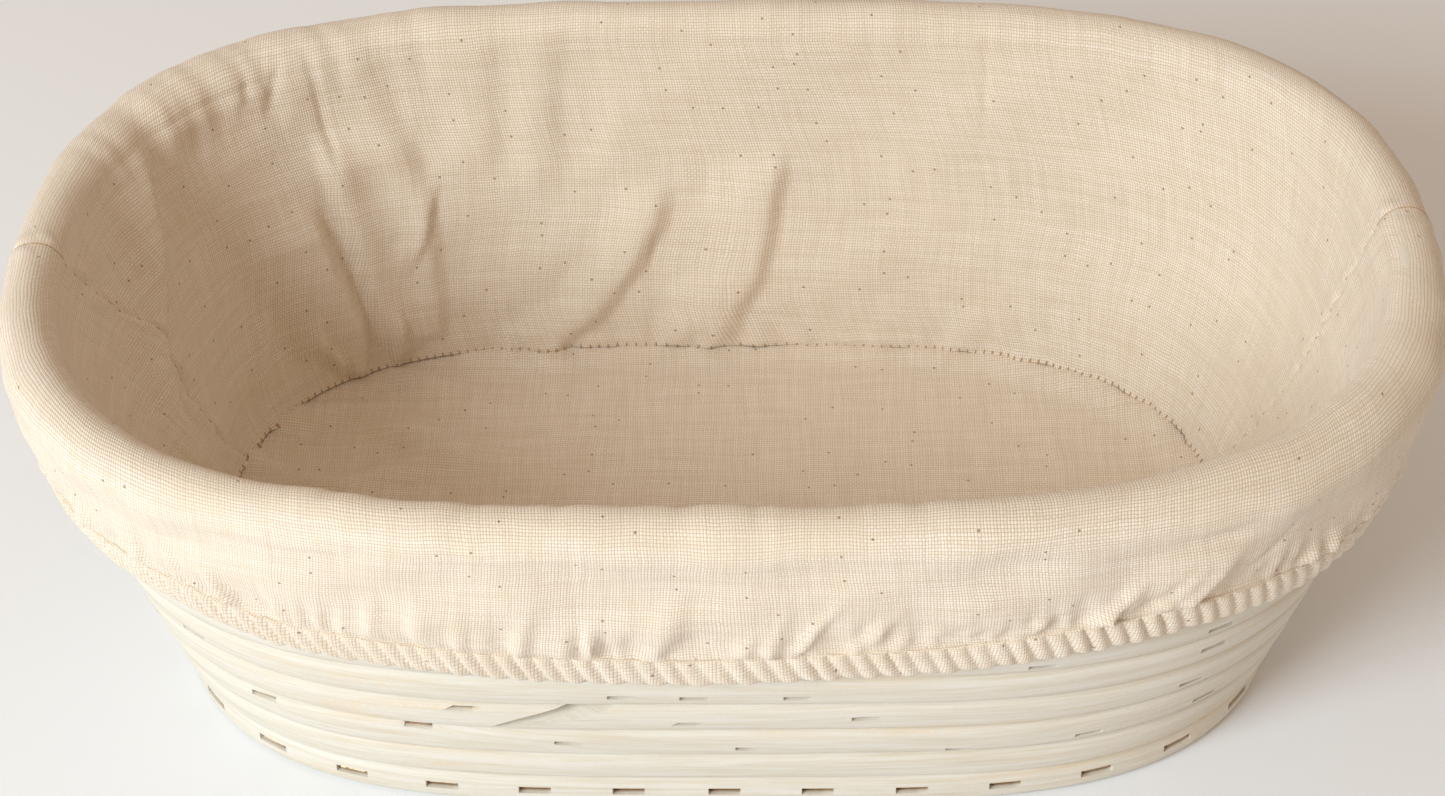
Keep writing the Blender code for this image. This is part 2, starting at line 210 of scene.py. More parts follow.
def shade_smooth(mesh):
    mesh.shade_smooth()
    mesh.set_sharp_from_angle(angle=SHARP_ANGLE)


def close_up(mesh):
    """Merges meeting edges, closes open ends with crisp caps, and turns the faces outwards."""
    shape = bmesh.new()
    shape.from_mesh(mesh)
    bmesh.ops.remove_doubles(shape, verts=shape.verts, dist=MERGE_DISTANCE)
    bmesh.ops.holes_fill(shape, edges=shape.edges, sides=0)
    bmesh.ops.recalc_face_normals(shape, faces=shape.faces)
    shape.to_mesh(mesh)
    shape.free()
    shade_smooth(mesh)
    for face in mesh.polygons:
        if face.loop_total > 4:
            for corner in face.loop_indices:
                mesh.edges[mesh.loops[corner].edge_index].use_edge_sharp = True


# ---------------------------------------------------------------- cane

PITCH = CANE + 0.3 * MM
CANE_UNEVENNESS = 0.12 * MM
WALL_GAP = 0.05 * MM
BASE_STRAND_WIDTH = 8.0 * MM
RING_SPACING = 2.8 * MM
STEP_OVER_TURN = 2.0 / 36.0
BASE_START = 1.0 - STEP_OVER_TURN
BASE_END = BASE_TURNS + 1.0
WALL_START = BASE_END - STEP_OVER_TURN
WALL_END = TOP_LEVEL + 1.0
SPLICES = (10.5 - 0.5 / 36.0, 13.5 - 0.5 / 36.0)
SCARF_LENGTH = 24.0 * MM
SCARF_ZONE = 36.0 * MM
SCARF_GAP = 0.05 * MM
SQUARENESS = 3.8
OUTER_STEPS = 12
INNER_STEPS = 10
CORE_STEPS = 24
TAPER_TIP = 0.12
SHAVED_WIDTH = 0.55
COIL_SAMPLES = 640001

STAPLE_COUNT = 34
SLOT_LENGTH = 4.5 * MM
SLOT_HEIGHT = 0.80 * MM
BASE_SLOT_LENGTH = 5.4 * MM
BASE_SLOT_HEIGHT = 1.35 * MM
SLOT_DEPTH = 1.5 * MM
SLOT_EDGE = 0.12 * MM
SLOT_WANDER = 1.8 * MM
CROWN_LENGTH = 4.1 * MM
CROWN_WIRE = 0.55 * MM
CROWN_SUNK = 0.95 * MM
LEG_LENGTH = 3.0 * MM


def along_back(past, level):
    """How far along the back a turn has got, as a share of its half length."""
    return -signed_power(np.sin(math.tau * past), 2.0 / turn_sizes(level)[2])


def step_done(turn):
    """How much of its step over to the next turn the coil has made, from 0 to 1."""
    nearest = np.round(turn)
    late = STEP_OVER_TURN * np.maximum(BASE_TURNS - nearest, 0.0) / BASE_TURNS
    past = np.clip(turn - nearest, -STEP_OVER_TURN, late)
    start = along_back(-STEP_OVER_TURN, nearest)
    return (start - along_back(past, nearest)) / (start - along_back(late, nearest))


def coil_level(turn):
    return np.round(turn) - 1.0 + step_done(turn)


def turn_angle(turn):
    return math.pi / 2 + math.tau * turn


def turn_at(level, share):
    """The coil's turn where the course of that level passes a place round the rim."""
    return level + ((rim_angle(share) - math.pi / 2) / math.tau) % 1.0


def coil_points(turn):
    return oval_points(coil_level(turn), turn_angle(turn))


def coil_travel(turn):
    """How far along the cane a turn is."""
    return np.interp(turn, COIL_TURNS, COIL_TRAVEL)


def turn_along(turn, distance):
    """The turn that is some distance further along the cane."""
    return np.interp(coil_travel(turn) + distance, COIL_TRAVEL, COIL_TURNS)


COIL_TURNS = np.linspace(BASE_START, WALL_END, COIL_SAMPLES)
COIL_STEPS = np.linalg.norm(np.diff(coil_points(COIL_TURNS), axis=0), axis=1)
COIL_TRAVEL = np.concatenate([[0.0], np.cumsum(COIL_STEPS)])


def ring_turns(first, last, slots, slot_length):
    """Evenly spaced rings, with two more at each end of every slot."""
    start, end = coil_travel(first), coil_travel(last)
    count = round((end - start) / RING_SPACING)
    turns = list(np.interp(np.linspace(start, end, count + 1), COIL_TRAVEL, COIL_TURNS))
    for turn, _ in slots:
        for reach in (slot_length / 2, slot_length / 2 + SLOT_EDGE):
            turns += [float(turn_along(turn, -reach)), float(turn_along(turn, reach))]
    return np.unique(np.round(turns, 9))


def face_line(half_height, slot_height):
    """Heights up the outer face and down the inner one, with the slot's edges in the outer face."""
    power = 2.0 / SQUARENESS
    up = np.linspace(-math.pi / 2, math.pi / 2, OUTER_STEPS)
    down = np.linspace(math.pi / 2, -math.pi / 2, INNER_STEPS)
    outer = list(half_height * signed_power(np.sin(up), power))
    inner = half_height * signed_power(np.sin(down), power)
    for edge in (slot_height / 2, slot_height / 2 + SLOT_EDGE):
        outer += [-edge, edge]
    outer = np.array(sorted(outer))
    heights = np.concatenate([outer, inner[1:]])
    sides = np.concatenate([np.ones(len(outer)), -np.ones(len(inner) - 1)])
    return heights, sides


def slot_offsets(turns, slots):
    """How far up the face the slots' line runs at each ring, changing smoothly between slots."""
    if not slots:
        return np.zeros(len(turns))
    places = sorted(slots)
    return np.interp(turns, [turn for turn, _ in places], [offset for _, offset in places])


def in_slot(turns, slots, slot_length):
    travel = coil_travel(turns)
    found = np.zeros(len(turns), bool)
    for turn, _ in slots:
        found |= np.abs(travel - coil_travel(turn)) < slot_length / 2 + SLOT_EDGE / 2
    return found


def wall_frames(turn, level):
    """The way out of the wall and the way up the stack, at each point."""
    angle = turn_angle(turn)
    stack = 2.0 * (oval_points(level + 0.5, angle) - oval_points(level, angle))
    along = unit(oval_points(level, angle + 0.01) - oval_points(level, angle - 0.01))
    return unit(np.cross(along, stack)), stack


def base_frames(turn):
    along = coil_points(turn + 0.003) - coil_points(turn - 0.003)
    up = np.broadcast_to(np.array((0.0, 0.0, 1.0)), along.shape)
    return unit(np.cross(along, up)), up


def shaved(first, last, turns, levels):
    """Scale and level where the first and the last length are shaved thin against their neighbour."""
    scale = np.ones(turns.shape)
    if first in (BASE_START, WALL_START):
        start = turns <= first + 2 * STEP_OVER_TURN
        scale = np.where(start, np.maximum(step_done(turns + 1.0), TAPER_TIP), scale)
        levels = np.where(start, np.round(turns) - (1.0 - scale) / 2, levels)
    if last in (BASE_END, WALL_END):
        end = turns >= last - STEP_OVER_TURN
        scale = np.where(end, np.maximum(1.0 - step_done(np.minimum(turns, last - 1e-6)), TAPER_TIP), scale)
        levels = np.where(end, last - 1.0 + (1.0 - scale) / 2, levels)
    return scale, levels


def scarf_shift(turns, heights, half_height, first, last):
    """Slides a spliced end along the cane, more the higher up its section, into half of a scarf joint."""
    travel = coil_travel(turns)
    shift = np.zeros((len(turns), len(heights)))
    slope = heights[None, :] / half_height * SCARF_LENGTH / 2
    for end, side in ((first, -1.0), (last, 1.0)):
        if end in SPLICES:
            near = np.clip(1.0 - np.abs(travel - coil_travel(end)) / SCARF_ZONE, 0.0, 1.0)[:, None]
            shift += near * (slope - side * SCARF_GAP / 2)
    return turn_along(turns[:, None], shift) - turns[:, None]


def roll_cane(first, last, in_wall, slots, slot_size):
    """Rolls a flat strip up into a length of the coil, square with round corners and slotted."""
    length, height = slot_size
    turns = ring_turns(first, last, slots, length)
    half_height = PITCH / 2 if in_wall else CANE_RADIUS
    heights, sides = face_line(half_height, height)
    mesh, across, down = flat_grid(len(turns) - 1, len(heights) - 1)
    ring = np.rint(across * (len(turns) - 1)).astype(int)
    line = np.rint(down * (len(heights) - 1)).astype(int)

    offset = slot_offsets(turns, slots)[ring]
    q = heights[line]
    q = q + np.where(sides[line] > 0, offset * (1.0 - (q / half_height) ** 2), 0.0)
    depth = np.maximum(1.0 - np.abs(q / half_height) ** SQUARENESS, 0.0) ** (1.0 / SQUARENESS)
    slot_line = (sides[line] > 0) & (np.abs(heights[line]) < (height + SLOT_EDGE) / 2)
    cut = slot_line & in_slot(turns, slots, length)[ring]

    turn = turns[ring] + scarf_shift(turns, heights, half_height, first, last)[ring, line]
    scale, level = shaved(first, last, turn, coil_level(turn))
    out = np.zeros(len(turn))
    if in_wall:
        centre = oval_points(level, turn_angle(turn))
        outward, stack = wall_frames(turn, level)
        full = np.linalg.norm(stack, axis=-1) / 2 - WALL_GAP / 2
        upward = unit(stack)
    else:
        out = np.maximum(level - BASE_TURNS, 0.0) * BASE_PITCH
        centre = oval_points(np.minimum(level, BASE_TURNS), turn_angle(turn), out)
        outward, upward = base_frames(np.clip(turn, first + 0.003, last - 0.003))
        full = CANE_RADIUS
    half_width = (CANE if in_wall else BASE_STRAND_WIDTH) / 2
    wide, tall = (SHAVED_WIDTH + (1.0 - SHAVED_WIDTH) * scale, scale) if in_wall else (scale, 1.0)
    p = depth * half_width * wide * sides[line] - np.where(cut, SLOT_DEPTH, 0.0)
    uneven = waves(centre, 46.0 * MM, 5) * CANE_UNEVENNESS if in_wall else 0.0
    places = centre + outward * (p + uneven)[:, None] if in_wall else centre + outward * p[:, None]
    places = places + upward * (q / half_height * full * tall)[:, None]

    lay_out(mesh, places, np.stack([coil_travel(turn), down * 4 * CANE], axis=-1))
    # Marks the slot floors, which the cane finish colours bare brown with painted shade.
    set_attribute(mesh, "raw_cut_and_slot_shade", cut)
    close_up(mesh)
    return mesh


def core_mesh():
    """The straight strand at the middle of the base."""
    mesh, across, down = flat_grid(CORE_STEPS, CORE_STEPS)
    angle = down * math.tau
    x = core_low.x + across * (core_high.x - core_low.x)
    y = CANE_RADIUS * signed_power(np.cos(angle), 2.0 / SQUARENESS)
    z = CANE_RADIUS + CANE_RADIUS * signed_power(np.sin(angle), 2.0 / SQUARENESS)
    lay_out(mesh, np.stack([x, y, z], axis=-1), np.stack([x, down * 4 * CANE], axis=-1))
    set_attribute(mesh, "raw_cut_and_slot_shade", np.zeros(len(x)))
    close_up(mesh)
    return mesh


# ---------------------------------------------------------------- staples

# Course, how many staples go round it, where the first one is, and the turn of their up and down.
COURSE_STAPLES = (
    (9, 21, 0.6153, 0.62),
    (10, 19, 0.6819, 0.66),
    (11, 24, 0.7264, 0.42),
    (12, 20, 0.6900, 0.10),
    (13, 21, 0.6650, 0.80),
    (14, 20, 0.6400, 0.30),
    (15, 22, 0.7050, 0.55),
    (16, 21, 0.6800, 0.05),
)
# The staples seen on the front, as share of the way round and level up the wall.
FRONT_STAPLES = (
    (0.6153, 9.35), (0.6667, 9.45), (0.6819, 10.35), (0.7111, 9.10), (0.7264, 10.95), (0.7444, 10.90),
    (0.7431, 9.90), (0.7556, 8.90), (0.7681, 10.90), (0.7861, 10.10), (0.8139, 8.70), (0.8542, 8.85),
)
FRONT_START = 0.60
FRONT_END = 0.88
FRONT_TOP = 11
STAPLE_JITTER = 0.15
CLEAR_OF_END = 13.0 * MM
CLEAR_OF_STEP = 0.01


def wall_slots():
    """(turn, height up the face) of every staple in the wall."""
    chance = np.random.default_rng(11)
    slots = []
    for level, count, start, phase in COURSE_STAPLES:
        for index in range(count):
            share = (start + (index + chance.uniform(-STAPLE_JITTER, STAPLE_JITTER)) / count) % 1.0
            if level <= FRONT_TOP and FRONT_START < share < FRONT_END:
                continue
            offset = SLOT_WANDER * math.sin(math.tau * (2.0 * (share - phase)) + math.pi / 2)
            slots.append((float(turn_at(level, share)), offset * chance.uniform(0.5, 1.0)))
    for share, level in FRONT_STAPLES:
        course = round(level)
        slots.append((float(turn_at(course, share)), (level - course) * PITCH))
    return sorted(slots)


def slots_between(slots, first, last):
    """The slots on one length of cane, clear of its ends and of the steps over."""
    found = []
    for turn, offset in slots:
        travel = float(coil_travel(turn))
        clear = float(coil_travel(first)) + CLEAR_OF_END < travel < float(coil_travel(last)) - CLEAR_OF_END
        if clear and CLEAR_OF_STEP < turn % 1.0 < 1.0 - STEP_OVER_TURN - CLEAR_OF_STEP:
            found.append((turn, offset))
    return found


def base_slots():
    """Where the base's staples are, from their own boxes."""
    slots = []
    for index in range(STAPLE_COUNT):
        low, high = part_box(f"staple_{index + 1:02d}")
        middle = (low + high) / 2
        turns = np.linspace(BASE_TURNS, BASE_END, 4001)
        away = np.linalg.norm(coil_points(turns)[:, :2] - np.array(middle)[:2], axis=1)
        slots.append((float(turns[away.argmin()]), 0.0))
    return sorted(slots)


def bent_wire(shape, place):
    """A flat wire bent into a U: a crown and two legs that go into the cane."""
    half = CROWN_LENGTH / 2
    sizes = (
        ((0.0, -CROWN_SUNK - CROWN_WIRE / 2, 0.0), (CROWN_LENGTH, CROWN_WIRE, CROWN_WIRE)),
        ((-half + CROWN_WIRE / 2, -CROWN_SUNK - LEG_LENGTH / 2, 0.0), (CROWN_WIRE, LEG_LENGTH, CROWN_WIRE)),
        ((half - CROWN_WIRE / 2, -CROWN_SUNK - LEG_LENGTH / 2, 0.0), (CROWN_WIRE, LEG_LENGTH, CROWN_WIRE)),
    )
    for middle, size in sizes:
        here = place @ Matrix.Translation(middle) @ Matrix.Diagonal((*size, 1.0))
        bmesh.ops.create_cube(shape, size=1.0, matrix=here)


def wall_staples_mesh(slots):
    shape = bmesh.new()
    for turn, offset in slots:
        here = np.array([turn])
        level = coil_level(here)
        outward, stack = (Vector(way[0]) for way in wall_frames(here, level))
        upward = stack.normalized()
        along = outward.cross(upward)
        face = Vector(oval_points(level, turn_angle(here))[0]) + outward * CANE_RADIUS + upward * offset
        turned = Matrix((along, outward, upward)).transposed().to_4x4()
        bent_wire(shape, Matrix.Translation(face) @ turned)
    mesh = bpy.data.meshes.new("wall_staples")
    shape.to_mesh(mesh)
    shape.free()
    return mesh


def make_cane_and_staples(cane, steel):
    add_piece("core_strand", core_mesh(), cane, "basket", ["core_cane"])
    slots = slots_between(base_slots(), BASE_START, BASE_END)
    base = roll_cane(BASE_START, BASE_END, False, slots, (BASE_SLOT_LENGTH, BASE_SLOT_HEIGHT))
    add_piece("base_coil", base, cane, "basket", ["base_cane"])
    wall = wall_slots()
    ends = (WALL_START, *SPLICES, WALL_END)
    kept = []
    for index, (first, last) in enumerate(zip(ends, ends[1:])):
        here = slots_between(wall, first, last)
        kept += here
        mesh = roll_cane(first, last, True, here, (SLOT_LENGTH, SLOT_HEIGHT))
        add_piece(f"wall_coil_{index + 1}", mesh, cane, "basket", [f"wall_cane_{index + 1}"])
    add_piece("wall_staples", wall_staples_mesh(kept), steel, "basket")
    for index in range(STAPLE_COUNT):
        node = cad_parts[f"staple_{index + 1:02d}"]
        node.data.materials.clear()
        node.data.materials.append(steel)


# ---------------------------------------------------------------- liner

CLOTH_OUT = 4.82 * MM
FOOT_HEIGHT = 9.6 * MM
FLOOR_HEIGHT = 8.3 * MM
SKIRT_LOOSENESS = 1.1 * MM
CASING_TALL = 7.0 * MM
CASING_THICK = 1.5 * MM
CASING_OUT = 5.95 * MM
ELASTIC_TALL = 4.8 * MM
ELASTIC_THICK = 0.5 * MM
ELASTIC_WAVE = 0.12 * MM
RIB_COUNT = 206
RIB_DEPTH = 0.45 * MM
RIB_LEAN = -0.35
CLOTH_REST = 0.22 * MM
HEM_TUCK = 0.25 * MM
CLOTH_COLUMNS = 470
INSIDE_ROWS = 84
OVER_ROWS = 20
SKIRT_ROWS = 26
FLOOR_STEPS = 170

# Heights of the hem's lower edge, by share of the way round.
HEM_EDGE = (
    (0.00, 50.5), (0.06, 48.0), (0.13, 44.5), (0.19, 42.5), (0.25, 41.5), (0.31, 42.5),
    (0.37, 44.5), (0.44, 49.0), (0.50, 52.0), (0.58, 52.5), (0.612, 51.0), (0.639, 46.7),
    (0.665, 45.2), (0.706, 42.5), (0.746, 41.2), (0.781, 43.4), (0.806, 44.6), (0.836, 47.4),
    (0.869, 49.8), (0.900, 49.2), (0.950, 50.0),
)

# The two end seams slant: share of the way round at each height up the inside.
LEFT_SEAM = (
    (9.6, 0.458), (19.0, 0.472), (27.0, 0.476), (41.0, 0.477),
    (51.0, 0.482), (59.0, 0.490), (75.0, 0.504),
)
RIGHT_SEAM = (
    (9.6, 0.030), (23.0, 0.0236), (39.5, 0.0139), (52.0, 0.0111),
    (61.0, 0.0111), (75.0, 0.0097),
)

# Folds down the inside of the wall: the line of the crest as (height, share) in millimetres, how high it
# stands, and how wide its sides are towards -X and towards +X. The steep side lies in shade.
FOLDS = (
    (((71.4, 0.4056), (78.0, 0.400)), -0.5, 1.4, 1.4),
    (((69.7, 0.3972), (78.0, 0.3889)), -0.6, 1.6, 1.4),
    (((54.3, 0.3806), (59.2, 0.3792), (78.0, 0.3806)), -0.55, 1.8, 1.6),
    (((51.0, 0.3635), (62.0, 0.3635), (78.0, 0.366)), 0.9, 9.0, 7.0),
    (((30.3, 0.3640), (36.5, 0.3560), (47.4, 0.3475)), 0.9, 5.0, 2.6),
    (((9.0, 0.3755), (36.0, 0.3775), (58.0, 0.3812)), 2.2, 4.0, 11.0),
    (((9.0, 0.3890), (24.7, 0.3905), (36.0, 0.3935), (46.0, 0.3950)), 3.0, 22.0, 5.5),
    (((9.0, 0.3745), (13.5, 0.3730), (21.0, 0.3712)), 1.6, 3.0, 2.2),
    (((10.0, 0.3575), (33.6, 0.3548), (58.0, 0.3576)), 1.4, 11.0, 6.0),
    (((50.0, 0.3305), (62.0, 0.3285), (78.0, 0.3280)), 0.8, 10.0, 7.0),
    (((46.0, 0.3125), (78.0, 0.3100)), 0.9, 8.0, 9.0),
    (((50.0, 0.2960), (58.0, 0.2950), (73.0, 0.2950)), -0.9, 9.0, 8.0),
    (
        (
            (10.0, 0.3100), (15.8, 0.2990), (20.4, 0.2908),
            (28.3, 0.2815), (37.5, 0.2742), (43.0, 0.2722),
        ),
        2.1, 11.0, 5.2,
    ),
    (((9.0, 0.2725), (32.0, 0.2715)), -0.7, 2.2, 5.0),
    (
        (
            (10.0, 0.2560), (12.3, 0.2538), (19.4, 0.2496),
            (24.9, 0.2445), (33.0, 0.2413), (49.5, 0.2363),
        ),
        1.9, 13.0, 4.0,
    ),
    (((58.0, 0.1670), (78.0, 0.1695)), -0.3, 1.4, 1.4),
    (
        (
            (24.0, 0.5045), (31.0, 0.4985), (38.5, 0.4945), (45.0, 0.4850),
            (52.0, 0.4700), (60.0, 0.4570), (72.0, 0.4460),
        ),
        3.0, 13.0, 2.8,
    ),
    (((60.0, 0.4890), (76.0, 0.4900)), -0.5, 1.6, 2.0),
    (((12.0, 0.4380), (20.0, 0.4330), (30.0, 0.4240)), 1.0, 6.0, 3.0),
    (((10.0, 0.4120), (17.0, 0.4080), (26.0, 0.4060)), 0.9, 7.0, 3.0),
    (((9.0, 0.3980), (14.0, 0.4000), (20.0, 0.4040)), 1.0, 4.0, 2.4),
)
FOLD_FADE = 5.0

# Short pleats that run down from under the rim: share, length, half width and depth in millimetres.
RIM_PLEATS = (
    (0.414, 11.0, 2.4, 0.7), (0.4235, 15.0, 2.2, 0.9), (0.4285, 6.0, 1.2, 0.45), (0.439, 12.0, 2.6, 0.8),
    (0.4525, 7.0, 1.5, 0.5), (0.460, 9.0, 2.0, 0.55), (0.3945, 14.0, 2.6, 0.8), (0.402, 8.0, 1.4, 0.5),
    (0.372, 9.0, 1.6, 0.6), (0.345, 12.0, 2.4, 0.6), (0.232, 7.0, 1.6, 0.35), (0.205, 10.0, 2.0, 0.35),
    (0.130, 8.0, 1.6, 0.35), (0.655, 6.0, 1.8, 0.6), (0.690, 7.0, 2.2, 0.7), (0.712, 6.0, 1.6, 0.6),
    (0.742, 8.0, 2.2, 0.8), (0.760, 6.0, 1.5, 0.6), (0.800, 7.0, 2.0, 0.6),
)
WRINKLE_COUNT = 170
GATHER_COUNT = 140
GATHER_DEPTH = 0.48 * MM
GATHER_REACH = 11.0 * MM
SKIRT_RIB_DEPTH = 0.25 * MM
SKIRT_RIB_REACH = 4.0 * MM
RIB_LEAN_HEIGHT = 3.0 * MM
TACKED_REACH = 2.2 * MM
PLEAT_BANK = 1.2
PLEAT_BANK_WIDTH = 3.2
FOOT_REACH = 14.0 * MM
CRIMP_REACH = 4.0 * MM
LOOSE_FROM = 52.0 * MM
LOOSE_RISE = 20.0 * MM
LOOSE_DEPTH = 1.9 * MM
OVER_RIM = 80.0 * MM
OVER_RIM_DROP = 3.0
SEAM_DENT = 0.42 * MM
SEAM_DENT_WIDTH = 0.7 * MM
PUCKER_HEIGHT = 0.25 * MM
PUCKER_WIDTH = 3.5 * MM


def hem_edge(share):
    places, heights = zip(*HEM_EDGE)
    return np.interp(share % 1.0, places, heights, period=1.0) * MM


def stitch_height(share):
    return hem_edge(share) + CASING_TALL


def seam_share(seam, height):
    heights, shares = zip(*seam)
    return np.interp(height / MM, heights, shares)


def fold_height(line, reach, share, height):
    """How far one fold lifts the cloth: a crest with a gentle side and a steep side, fading at its ends."""
    tall, left, right = reach
    heights, shares = zip(*line)
    up = height / MM
    crest = np.interp(up, heights, shares)
    rise = np.interp(up + 1.0, heights, shares) - np.interp(up - 1.0, heights, shares)
    slant = rise / 2 * RIM_LENGTH / MM
    away = (crest - share) * RIM_LENGTH / MM / np.sqrt(1.0 + slant**2)
    side = np.where(away < 0, 1.0 + away / left, 1.0 - away / right)
    low = smooth_step((up - heights[0] + FOLD_FADE) / FOLD_FADE / 2)
    high = smooth_step((heights[-1] + FOLD_FADE - up) / FOLD_FADE / 2)
    return tall * MM * smooth_step(side) * low * high


def skirt_wrinkles(share, up):
    """Gathers that run up the skirt from the hem's stitching."""
    chance = np.random.default_rng(29)
    total = np.zeros(share.shape)
    for index in range(WRINKLE_COUNT):
        middle = (index + chance.uniform(-0.45, 0.45)) / WRINKLE_COUNT
        length = chance.uniform(5.0, 24.0) * MM * chance.uniform(0.5, 1.0)
        width = chance.uniform(1.0, 2.3) * MM
        tall = chance.uniform(0.5, 1.8) * MM * chance.choice((1.0, -0.5))
        front_right = smooth_step((middle - 0.70) / 0.10) * smooth_step((1.0 - middle) / 0.08)
        front_left = smooth_step((0.70 - middle) / 0.10) * smooth_step((middle - 0.50) / 0.08)
        slant = chance.normal(0.0, 0.18) + 0.75 * front_right - 0.45 * front_left
        away = ((share - middle + 0.5) % 1.0 - 0.5) * RIM_LENGTH - slant * up
        near = np.abs(away) < 4 * width
        total[near] += (tall * np.exp(-((away / width) ** 2)) * fading(up, length))[near]
    return total


def kept_off_cane(lift, stage):
    """Stops the cloth a little short of the cane, easing to rest where it would go in."""
    corner = smooth_step((stage - 0.9) / 0.1) * smooth_step((2.1 - stage) / 0.1)
    room = (CLOTH_OUT - CANE_RADIUS - CLOTH_REST) * (1.0 - 0.85 * corner)
    return np.where(lift < -room / 2, -room + room / 2 * np.exp((lift + room / 2) / (room / 2)), lift)


def pleat_lift(share, stage, below_rim):
    """Short pleats under the rim, each a groove between two raised banks."""
    lift = np.zeros(share.shape)
    for middle, length, width, deep in RIM_PLEATS:
        narrowed = width * smooth_step(1.15 - below_rim / length) + 0.4
        away = np.abs(share - middle) * RIM_LENGTH / MM / narrowed
        run = fading(below_rim, length) * smooth_step((below_rim + 4.0) / 6.0)
        bank = PLEAT_BANK * np.exp(-((away / PLEAT_BANK_WIDTH) ** 2))
        lift += np.where(stage < 2, (bank - np.exp(-(away**2))) * deep * run, 0.0)
    return lift * MM


def foot_lift(share, stage, height, places):
    """Crumples where the sides meet the floor: slack at the right end, pulled in at the left."""
    up = height - FOOT_HEIGHT
    foot = fading(up, FOOT_REACH) * (stage < 1)
    crimp = fading(up, CRIMP_REACH) * (stage < 1)
    left_end = fading(np.abs(share - 0.40), 0.13)
    right_end = fading(np.abs((share + 0.5) % 1.0 - 0.56), 0.16)
    lift = foot * (left_end * (0.55 * waves(places, 8 * MM, 9) - 2.2) + right_end * 2.4)
    lift += foot * 0.2 * waves(places, 7 * MM, 10)
    lift += crimp * (0.25 + 0.35 * left_end) * waves(places, 3.6 * MM, 18)
    return lift * MM


def gathers(share, up):
    """The skirt's gathers above the hem: one for each rib close to it, and broader ones higher up."""
    ribs = np.cos(math.tau * (RIB_COUNT * share - RIB_LEAN * up / RIB_LEAN_HEIGHT))
    sway = 1.6 * np.sin(math.tau * 11 * share) + 1.1 * np.sin(math.tau * 29 * share + 1.0)
    uneven = 0.6 + 0.4 * np.sin(math.tau * 17 * share)
    broad = np.cos(math.tau * GATHER_COUNT * share + sway) * uneven
    lift = SKIRT_RIB_DEPTH * ribs * fading(up, SKIRT_RIB_REACH)
    lift += GATHER_DEPTH * broad * fading(up, GATHER_REACH)
    return lift + skirt_wrinkles(share, up)


def rumple(share, stage, height, places):
    """How far the cloth stands off its even line over the cane."""
    whole = share % 1.0
    inside = smooth_step((1.5 - stage) / 0.8)
    outside = smooth_step((stage - 1.5) / 0.6)
    lift = inside * (0.45 * waves(places, 70 * MM, 3) + 0.16 * waves(places, 26 * MM, 4)) * MM
    lift += (0.12 * waves(places, 16 * MM, 8) + outside * 0.30 * waves(places, 11 * MM, 6)) * MM
    for line, *reach in FOLDS:
        lift += inside * fold_height(line, reach, share, height)
    over = -OVER_RIM_DROP * np.maximum(stage - 1.0, 0.0)
    lift += pleat_lift(whole, stage, np.where(stage < 1, (RIM_HEIGHT - height) / MM, over))
    lift += foot_lift(whole, stage, height, places)
    near_rim = smooth_step((height - LOOSE_FROM) / LOOSE_RISE) * smooth_step((1.7 - stage) / 0.7)
    lift += near_rim * fading(np.abs(whole - 0.90), 0.12) * LOOSE_DEPTH
    up = height - stitch_height(share)
    tacked = smooth_step((up + HEM_TUCK) / TACKED_REACH)
    lift = np.where(stage > 2, lift * tacked, lift)
    lift += outside * gathers(share, up) * np.maximum(tacked, 0.25)
    puckers = 0.6 + waves(places, 5 * MM, 12)
    for seam in (LEFT_SEAM, RIGHT_SEAM):
        line = seam_share(seam, np.where(stage < 1, height, OVER_RIM))
        away = ((share - line + 0.5) % 1.0 - 0.5) * RIM_LENGTH
        lift -= SEAM_DENT * np.exp(-((away / SEAM_DENT_WIDTH) ** 2))
        lift += PUCKER_HEIGHT * np.exp(-((away / PUCKER_WIDTH) ** 2)) * puckers
    return kept_off_cane(lift, stage)


def cloth_line(share, stage):
    """The cloth's even line: stage 0 to 1 up the inside, 1 to 2 over the rim, 2 to 3 down the skirt."""
    inside_top = RIM_HEIGHT + CLOTH_OUT * math.sin(WALL_LEAN)
    outside_top = RIM_HEIGHT - CLOTH_OUT * math.sin(WALL_LEAN)
    up = np.clip(stage, 0.0, 1.0)
    down = np.clip(stage - 2.0, 0.0, 1.0)
    turn = math.pi - WALL_LEAN - np.clip(stage - 1.0, 0.0, 1.0) * math.pi
    over = CLOTH_OUT * np.sin(turn)
    height = np.where(stage < 1, FOOT_HEIGHT + up * (inside_top - FOOT_HEIGHT), RIM_HEIGHT + over)
    skirt = outside_top + down * (stitch_height(share) - HEM_TUCK - outside_top)
    height = np.where(stage > 2, skirt, height)
    level = np.where((stage < 1) | (stage > 2), wall_level(height), TOP_LEVEL)
    flat = CLOTH_OUT / math.cos(WALL_LEAN)
    out = np.where(stage < 1, -flat, CLOTH_OUT * np.cos(turn))
    out = np.where(stage > 2, flat + SKIRT_LOOSENESS * smooth_step(down / 0.75), out)
    climb = (height - FOOT_HEIGHT) / math.cos(WALL_LEAN)
    full = (inside_top - FOOT_HEIGHT) / math.cos(WALL_LEAN)
    travel = np.where(stage < 1, climb, full + CLOTH_OUT * (math.pi - WALL_LEAN - turn))
    travel = travel + np.where(stage > 2, (outside_top - height) / math.cos(WALL_LEAN), 0.0)
    return level, out, height, turn, travel


def cloth_places(share, stage):
    level, out, height, turn, travel = cloth_line(share, stage)
    angle = rim_angle(share)
    even = oval_points(level, angle, out, height)
    lift = rumple(share, stage, height, even)
    places = oval_points(level, angle, out + lift * np.cos(turn), height + lift * np.sin(turn))
    inwards = (TOP_LEVEL - level) * (RIM_HALF_WIDTH - BASE_HALF_WIDTH) / WALL_TURNS - out
    return places, travel, 1.0 - math.tau * inwards / RIM_LENGTH


